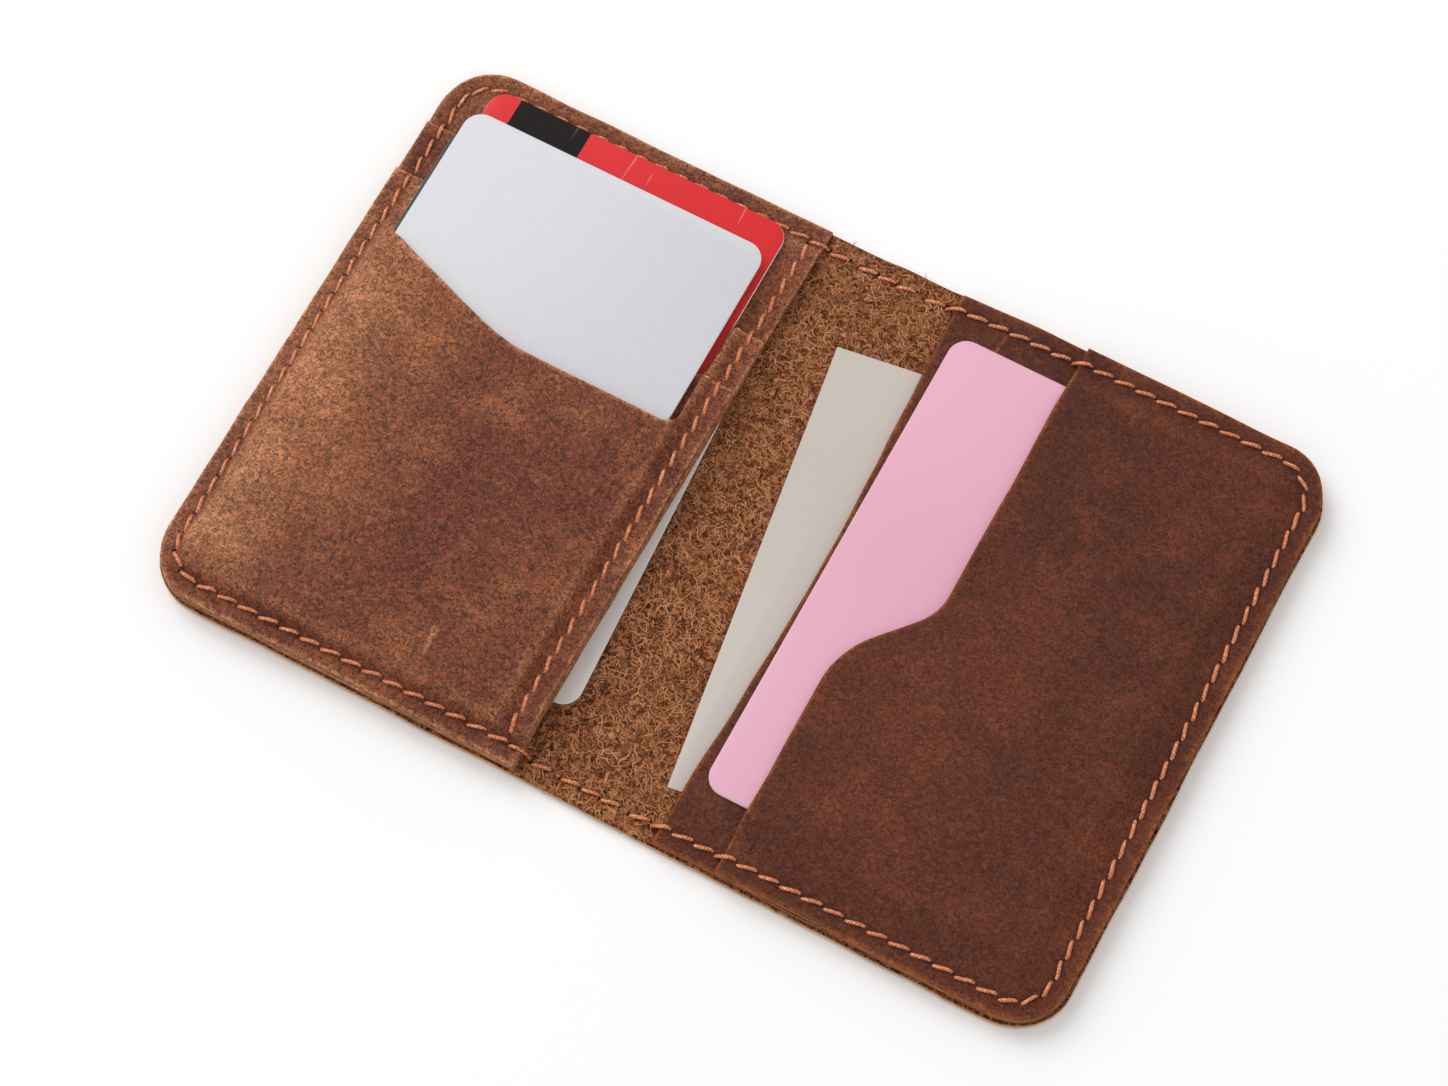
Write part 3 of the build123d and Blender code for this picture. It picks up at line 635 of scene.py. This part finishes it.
def base_shift(x, y):
    """The base panel's free edge is cut in a shallow bow."""
    bow = 1.7 * np.sin(math.pi * np.clip(y / open_height, 0, 1)) ** 1.5
    return bow * (1 - ramp(x, base_edge, base_edge + 9)), top_shift(x, y)[1]


left_rows = border_lines(0, open_height)
left_columns = border_lines(0, panel_edge)
backing = sheet(
    "left_backing",
    [(0, 0, outer_corner), (panel_edge, 0, 0), (panel_edge, open_height, 0), (0, open_height, outer_corner)],
    backing_thick, under_backing, left_columns, left_rows, (left_leather, brown_edge), 1.0, lean_shift)
stand_for(backing, "left_half", "panel_leather", "left_backing_panel")

# A card pocket's two ears and its mouth; the rear pocket is the same, a step higher.
ear_left, ear_right = 5.7, 61.1
left_ear_top, right_ear_top = 80.1, 70.6
mouth_high, mouth_level = 68.9, 60.0
pocket_step = 10.2
ear_round, notch_round = 0.8, 2.0


def pocket_corners(lift):
    """A card pocket's outline: two ears, a notch, a slanted and then level mouth."""
    return [(0, 0, outer_corner), (panel_edge, 0, 0),
            (panel_edge, right_ear_top + lift, ear_round), (ear_right, right_ear_top + lift, ear_round),
            (ear_right, mouth_level + lift, notch_round), (31.0, mouth_level + lift, 25.0),
            (ear_left, mouth_high + lift, notch_round), (ear_left, left_ear_top + lift, ear_round),
            (0, left_ear_top + lift, 0)]


rear = sheet(
    "rear_pocket", pocket_corners(pocket_step), rear_thick, under_rear, left_columns,
    [row for row in left_rows if row < 89.5], (left_leather, brown_edge), 2.0, lean_shift)
stand_for(rear, "left_half", "panel_leather", "rear_card_pocket")


def shoulder_painted_highlight(x, y):
    """Painted highlight along the filled pocket's outer shoulder, and a faint painted light over its left
    part.
    """
    return (0.42 * np.exp(-((x - 8.5) / 5.5) ** 2) + 0.12 * (1 - ramp(x, 10, 34))) * ramp(y, 4, 9)


front_rows = [row for row in left_rows if row < 56] + list(np.arange(57.0, 79.6, 0.7))
front = sheet(
    "front_pocket", pocket_corners(0.0), front_thick, under_front, left_columns, front_rows,
    (left_leather, brown_edge), 3.0, lean_shift, painted_highlight=shoulder_painted_highlight)
stand_for(front, "left_half", "panel_leather", "front_card_pocket")

right_columns = (list(np.arange(base_edge + 1.0, 147.0, open_grid))
                 + list(np.arange(147.6, open_width - 0.9, fine_grid)))
base = sheet(
    "right_base",
    [(base_edge, 0, 0), (open_width, 0, outer_corner), (open_width, open_height, outer_corner),
     (base_edge, open_height, 0)],
    base_thick, under_base, right_columns, left_rows, (right_leather, brown_edge), 4.0, base_shift)
stand_for(base, "right_half", "panel_leather", "right_base_panel")

# The right pocket's mouth: its edge above and below the step down to the corner at the spine.
pocket_high_x, pocket_low_x = 112.5, 101.45
right_front = sheet(
    "right_pocket_front",
    [(pocket_low_x, 0, 0), (open_width, 0, outer_corner), (open_width, open_height, outer_corner),
     (pocket_high_x, open_height, 0), (pocket_high_x, 52.9, 7.5), (pocket_low_x, 39.85, 13.0)],
    right_thick, under_right, [column for column in right_columns if column > 102.4], left_rows,
    (right_leather, brown_edge), 5.0, top_shift)
stand_for(right_front, "right_half", "panel_leather", "right_pocket")


def flat_cover(x, y):
    return 0 * x


# The cover's raw edge is sharper than the panels', and its outer face is grooved for the thread.
cover_rounded, cover_groove = 0.22, 0.45
cover_left = sheet(
    "cover_left_hide",
    [(0, 0, outer_corner), (middle, 0, 0), (middle, open_height, 0), (0, open_height, outer_corner)],
    cover_top, flat_cover, border_lines(0, middle, fine_high=False), left_rows,
    (cover_leather, tan_edge, flesh), 6.0, top_shift, 0.3, cover_rounded, cover_groove)
cover_right = sheet(
    "cover_right_hide",
    [(middle, 0, 0), (open_width, 0, outer_corner), (open_width, open_height, outer_corner),
     (middle, open_height, 0)],
    cover_top, flat_cover, border_lines(middle, open_width, fine_low=False), left_rows,
    (cover_leather, tan_edge, flesh), 6.0, top_shift, 0.4, cover_rounded, cover_groove)
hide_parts("cover_left", "cover_spine")
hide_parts("cover_right")

# ---------------------------------------------------------------- thread

seam_press = 0.1


def face_height(x, y):
    """The height of the uppermost leather at a point of a seam, where the thread presses it in."""
    if x < panel_edge + 0.4:
        ear_top = left_ear_top if x < 30 else right_ear_top
        if y < ear_top:
            level = under_front(x, y) + front_thick
        elif y < ear_top + pocket_step:
            level = under_rear(x, y) + rear_thick
        else:
            level = under_backing(x, y) + backing_thick
    elif x < base_edge:
        return cover_top
    elif x < (pocket_low_x if y < 45 else pocket_high_x):
        level = under_base(x, y) + base_thick
    else:
        level = under_right(x, y) + right_thick
    return float(level) - seam_press


quarter = math.pi / 2


def straight_run(start, end):
    """Stitches along a line: each one's place, heading and pitch."""
    length = math.dist(start, end)
    count = round(length / stitch_pitch)
    heading = math.atan2(end[1] - start[1], end[0] - start[0])
    return [(start[0] + (i + 0.5) / count * (end[0] - start[0]),
             start[1] + (i + 0.5) / count * (end[1] - start[1]),
             heading, length / count) for i in range(count)]


def corner_run(centre, first):
    """Stitches round a quarter of the border's corner, from the angle first."""
    length = seam_corner * quarter
    count = round(length / stitch_pitch)
    run = []
    for i in range(count):
        angle = first + quarter * (i + 0.5) / count
        run.append((centre[0] + seam_corner * math.cos(angle), centre[1] + seam_corner * math.sin(angle),
                    angle + quarter, length / count))
    return run


low, high, far = outer_corner, open_height - outer_corner, open_width - outer_corner
seam_gap = 0.8
left_seam = (straight_run((left_fold - seam_gap, seam_top), (low, seam_top))
             + corner_run((low, high), quarter)
             + straight_run((seam_inset, high), (seam_inset, low)) + corner_run((low, low), 2 * quarter)
             + straight_run((low, seam_inset), (left_fold - seam_gap, seam_inset)))
spine_seam = [s for y in (seam_inset, seam_top)
              for s in straight_run((left_fold + seam_gap, y), (right_fold - seam_gap, y))]
right_seam = (straight_run((right_fold + seam_gap, seam_inset), (far, seam_inset))
              + corner_run((far, low), 3 * quarter)
              + straight_run((open_width - seam_inset, low), (open_width - seam_inset, high))
              + corner_run((far, high), 0) + straight_run((far, seam_top), (right_fold + seam_gap, seam_top)))
pocket_seam = straight_run((pocket_seam_x, seam_inset + 1.2), (pocket_seam_x, seam_top - 1.2))


def ringed_bar(name, sides, cuts, ends):
    """A bar along x from -1 to 1, of radius 1, ringed at the cuts so that a copy of it can be bent."""
    clear_selection()
    bpy.ops.mesh.primitive_cylinder_add(vertices=sides, radius=1.0, depth=2.0,
                                        rotation=(0, math.pi / 2, 0), end_fill_type=ends)
    bar = bpy.context.object
    bar.name = bar.data.name = name
    bpy.ops.object.transform_apply(location=True, rotation=True, scale=True)
    bpy.ops.object.mode_set(mode="EDIT")
    for cut in cuts:
        bpy.ops.mesh.select_all(action="SELECT")
        bpy.ops.mesh.bisect(plane_co=(cut, 0, 0), plane_no=(1, 0, 0))
    bpy.ops.object.mode_set(mode="OBJECT")
    bpy.ops.object.shade_smooth()
    return bar


stitch_form = ringed_bar("stitch_form", 8, (-0.86, -0.6, -0.3, 0.0, 0.3, 0.6, 0.86), "NOTHING")

# One awl hole: a small lozenge, its middle sunk, coloured near-black as painted shade.
clear_selection()
bpy.ops.mesh.primitive_circle_add(vertices=8, radius=1.0, fill_type="NGON")
hole_form = bpy.context.object
hole_form.name = hole_form.data.name = "hole_form"
bpy.ops.object.mode_set(mode="EDIT")
bpy.ops.mesh.select_all(action="SELECT")
bpy.ops.mesh.inset(thickness=0.35, depth=0)
bpy.ops.transform.translate(value=(0, 0, -0.5))
bpy.ops.object.mode_set(mode="OBJECT")
bpy.ops.object.shade_smooth()


def copy_form(form, matrix, reshape=None):
    """A copy of a form with its own mesh, reshaped in its own space, then put in place."""
    made = bpy.data.objects.new(form.name, form.data.copy())
    bpy.context.scene.collection.objects.link(made)
    if reshape:
        for vertex in made.data.vertices:
            vertex.co = reshape(vertex.co)
    made.data.transform(matrix)
    return made


def join_as(name, parts):
    """Joins the parts into the first, as one named piece."""
    clear_selection()
    for part in parts:
        part.select_set(True)
    bpy.context.view_layer.objects.active = parts[0]
    if len(parts) > 1:
        bpy.ops.object.join()
    parts[0].name = parts[0].data.name = name
    return parts[0]


thread_radius = 0.33
stitch_tilt = math.radians(9)
stitch_overlap = 0.1
outer_seat, outer_sink = 0.46, 0.02     # the outside seam's thread lies in a groove
arch, dive, side_sway = 0.20, 0.42, 0.06
hole_size, hole_turn, hole_lift = (0.34, 0.22, 0.25), 0.7, 0.035


def sew(name, seam, seed, outside=False, shift=None):
    """Lays a seam's stitches on the leather, each a little different, and its awl holes between them."""
    chance = random.Random(seed)
    threads, holes = [], []
    for x, y, heading, pitch in seam:
        shift_x, shift_y = shift(x, y)
        x, y = x + float(shift_x), y + float(shift_y)
        turn = heading + stitch_tilt + math.radians(chance.uniform(-2.5, 2.5))
        half = (pitch + stitch_overlap) / 2 * chance.uniform(0.97, 1.02)
        side = Vector((math.cos(turn), math.sin(turn), 0))
        if outside:
            ends, centre = [outer_seat, outer_seat], outer_seat
        else:
            ends = [face_height(x + s * side.x * half * 0.8, y + s * side.y * half * 0.8) for s in (-1, 1)]
            centre = max(face_height(x, y), (ends[0] + ends[1]) / 2)
        rise = centre - (ends[0] + ends[1]) / 2
        slope = ends[1] - ends[0]
        thick = thread_radius * chance.uniform(0.94, 1.08)
        swell = chance.uniform(0.75, 1.0)

        def reshape(co, half=half, rise=rise, slope=slope, thick=thick, swell=swell):
            s = co.x
            body = (1 - abs(s) ** 3.2) ** 0.5 if abs(s) < 1 else 0.0
            width = thick * (0.42 + 0.58 * body)
            line = arch * swell * (1 - s * s) - dive * abs(s) ** 5 + rise * (1 - s * s) + slope * s / 2
            sway = side_sway * math.sin(3.0 * s)
            return Vector((s * half, co.y * width + sway, co.z * width * 0.85 + line))

        flip = Matrix.Rotation(math.pi, 4, "X") if outside else Matrix.Identity(4)
        level = centre - outer_sink if outside else centre - rise
        matrix = (Matrix.Translation(place(x, y, level)) @ Matrix.Rotation(turn, 4, "Z") @ flip
                  @ Matrix.Scale(mm, 4))
        threads.append(copy_form(stitch_form, matrix, reshape))
        if outside:
            continue
        for s, end in zip((-1, 1), ends):
            spot = place(x + s * side.x * half, y + s * side.y * half, end + hole_lift)
            spread = Matrix.Diagonal([length * mm for length in hole_size] + [1])
            holes.append(copy_form(hole_form, Matrix.Translation(spot)
                                   @ Matrix.Rotation(turn + hole_turn, 4, "Z") @ spread))
    made = join_as(name, threads)
    made.data.materials.append(thread)
    if not holes:
        return made, None
    gaps = join_as(name + "_holes", holes)
    gaps.data.materials.append(painted_hole_shade)
    return made, gaps


def no_shift(x, y):
    return 0 * x, 0 * y


for name, seam, body, seed, outside, shift, node in (
        ("left_inner_thread", left_seam, "left_half", 11, False, top_shift, "left_inner_stitches"),
        ("left_outer_thread", left_seam, "left_half", 12, True, no_shift, "left_outer_stitches"),
        ("spine_inner_thread", spine_seam, "spine", 13, False, top_shift, "spine_inner_stitches"),
        ("spine_outer_thread", spine_seam, "spine", 14, True, no_shift, "spine_outer_stitches"),
        ("right_inner_thread", right_seam, "right_half", 15, False, top_shift, "right_inner_stitches"),
        ("right_outer_thread", right_seam, "right_half", 16, True, no_shift, "right_outer_stitches"),
        ("pocket_seam_thread", pocket_seam, "left_half", 17, False, lean_shift, "pocket_seam_stitches")):
    made, gaps = sew(name, seam, seed, outside, shift)
    stand_for(made, body, "thread", node)
    if gaps:
        stand_for(gaps, body, "panel_leather")
for form in (stitch_form, hole_form):
    bpy.data.objects.remove(form)

# ---------------------------------------------------------------- nap on the bare spine

curl_form = ringed_bar("curl_form", 4, (-0.66, -0.33, 0.0, 0.33, 0.66), "NGON")

# The slip's left edge, past which it covers the nap.
slip_left_top, slip_left_low = Vector((77.0, 86.7)), Vector((88.47, 9.04))
curl_count, long_share = 1500, 0.15
chance = random.Random(5)
curls = {"left": [], "right": []}
while len(curls["left"]) + len(curls["right"]) < curl_count:
    x = chance.uniform(panel_edge - 0.5, base_edge + 1.5)
    y = chance.uniform(0.3, open_height - 0.6)
    along = (slip_left_top.y - y) / (slip_left_top.y - slip_left_low.y)
    covered = 0 < along < 1 and x > slip_left_top.x + along * (slip_left_low.x - slip_left_top.x) - 0.8
    if covered or abs(seam_distance(x, y)) < 0.5:
        continue
    length = chance.uniform(0.35, 1.3) if chance.random() < 1 - long_share else chance.uniform(1.2, 2.2)
    arc = chance.uniform(-0.55, 0.55)
    kink = chance.uniform(-0.25, 0.25)
    fine = chance.uniform(0.06, 0.12)
    lift = chance.uniform(0.02, 0.12)

    def reshape(co, length=length, arc=arc, kink=kink, fine=fine, lift=lift):
        s = co.x
        width = fine * (1 - 0.75 * abs(s) ** 2)
        return Vector((s * length, co.y * width + length * (arc * (1 - s * s) + kink * math.sin(4.4 * s)),
                       co.z * width + lift * (1 - s * s) - 0.02))

    turn = chance.gauss(-0.9, 0.9)
    matrix = (Matrix.Translation(place(x, y, cover_top)) @ Matrix.Rotation(turn, 4, "Z")
              @ Matrix.Scale(mm, 4))
    curls["left" if x < middle else "right"].append(copy_form(curl_form, matrix, reshape))
bpy.data.objects.remove(curl_form)
nap_left = join_as("spine_nap_left", curls["left"])
nap_right = join_as("spine_nap_right", curls["right"])
fibre = cut_edge("Raised collagen fibre", "dc9f72", "ab683d", "7a3f1e")
for piece in (nap_left, nap_right):
    piece.data.materials.append(fibre)

for piece in (cover_left, nap_left):
    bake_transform(piece)
for piece in (cover_right, nap_right):
    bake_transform(piece)

# ---------------------------------------------------------------- cards and the slip

eased, most_eased = 0.18, 1 / 3     # a card's edge, and the most of its thickness that may go


def card(name, centre, size, floor, thickness, corner, tilt, materials, stripe=None, lines=()):
    """A card: cut, rounded, given its thickness, its edges eased. Its stripe is faces of the card."""
    half_x, half_y = size[0] / 2, size[1] / 2
    turn = Matrix.Rotation(math.radians(tilt), 2)
    corners = []
    for sx, sy in ((-1, -1), (1, -1), (1, 1), (-1, 1)):
        at = turn @ Vector((sx * half_x, sy * half_y))
        corners.append((centre[0] + at.x, centre[1] + at.y, corner))
    piece = cut_out(name, corners, floor + thickness)
    for direction, values in lines:
        for value in values:
            bpy.ops.mesh.select_all(action="SELECT")
            bpy.ops.mesh.bisect(plane_co=place(value, value, 0), plane_no=direction)
    bpy.ops.mesh.select_all(action="SELECT")
    bpy.ops.mesh.extrude_region_move(TRANSFORM_OT_translate={"value": (0, 0, -thickness * mm)})
    bpy.ops.mesh.select_all(action="SELECT")
    bpy.ops.mesh.normals_make_consistent(inside=False)
    bpy.ops.mesh.select_all(action="DESELECT")
    bpy.ops.mesh.select_mode(type="EDGE")
    bpy.ops.mesh.edges_select_sharp(sharpness=math.radians(60))
    bpy.ops.mesh.bevel(offset=min(eased, thickness * most_eased) * mm, segments=2, affect="EDGES")
    bpy.ops.object.mode_set(mode="OBJECT")
    for material in materials:
        piece.data.materials.append(material)
    for face in piece.data.polygons:
        if abs(face.normal.z) < 0.9:
            face.material_index = 1
        elif stripe and face.normal.z > 0:
            x = (face.center.x - cad_low.x) / mm
            if stripe[0] < x < stripe[1]:
                face.material_index = 2
    bpy.ops.object.shade_smooth_by_angle(angle=math.radians(40))
    return piece


def centre_of(node):
    return ((low_of(node) + high_of(node)) / 2)[:2]


def size_of(node):
    return (high_of(node) - low_of(node))[:2]


card_corner = 3.18
card_size = size_of("silver_card")
card_thick = high_of("silver_card").z - low_of("silver_card").z
stripe_span = low_of("magnetic_stripe").x, high_of("magnetic_stripe").x
for node, tilt, materials, extra in (
        ("silver_card", 0, (silver_face, card_core), {}),
        ("green_card", 0, (green_face, green_core), {}),
        ("red_card", 0, (red_face, card_core, stripe_face),
         {"stripe": stripe_span, "lines": (((1, 0, 0), stripe_span),)}),
        ("white_card", 3.3, (white_face, card_core), {}),
        ("pink_card", 0, (pink_face, card_core), {})):
    piece = card(node + "_blank", centre_of(node), card_size, low_of(node).z, card_thick, card_corner,
                 tilt, materials, **extra)
    nodes = (node, "magnetic_stripe") if node == "red_card" else (node,)
    stand_for(piece, node, node, *nodes)

slip_size, slip_thick, slip_tilt = (52.0, 78.5), 0.25, 8.4
bend_lines = (((1, 0, 0), np.arange(76.0, 100.0, 1.0)),)
slip = card("grey_slip_board", centre_of("grey_slip"), slip_size, low_of("grey_slip").z, slip_thick, 0.0,
            slip_tilt, (slip_face, slip_core), lines=bend_lines)
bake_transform(slip)
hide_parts("grey_slip")

# ---------------------------------------------------------------- studio

clear_selection()
bpy.ops.mesh.primitive_plane_add(size=4.0, location=(0, 0, cad_low.z - 0.15 * mm))
floor = bpy.context.object
floor.name = "studio_floor"
paper, _, shader, _ = start_material("Matt white studio paper")
shader.inputs["Base Color"].default_value = tint("f6f6f6")
shader.inputs["Roughness"].default_value = 0.9
shader.inputs["Specular IOR Level"].default_value = 0.1
floor.data.materials.append(paper)


def soft_light(name, spot, size, power):
    """A square softbox that faces the wallet."""
    lamp = bpy.data.lights.new(name, "AREA")
    lamp.size, lamp.energy = size, power
    holder = bpy.data.objects.new(name, lamp)
    bpy.context.scene.collection.objects.link(holder)
    holder.location = spot
    holder.rotation_euler = (-Vector(spot)).to_track_quat("-Z", "Y").to_euler()
    return holder


soft_light("key_softbox", (-1.5, 0.62, 1.45), 1.5, 27.0)

world = bpy.data.worlds.new("studio")
world.use_nodes = True
sky = world.node_tree.nodes["Background"]
sky.inputs[0].default_value = tint("ffffff")
sky.inputs[1].default_value = 0.76
scene = bpy.context.scene
scene.world = world
scene.view_settings.view_transform = "Standard"

lens = bpy.data.cameras.new("camera")
lens.lens, lens.sensor_width = 105.5, 36.0
lens.clip_start, lens.clip_end = 0.01, 20.0
camera = bpy.data.objects.new("camera", lens)
scene.collection.objects.link(camera)
camera.location = (0.1162, -0.2221, 0.6156)
aim = Vector((-0.0017, -0.0030, 0.0))
camera.rotation_euler = (aim - camera.location).to_track_quat("-Z", "Y").to_euler()
scene.camera = camera
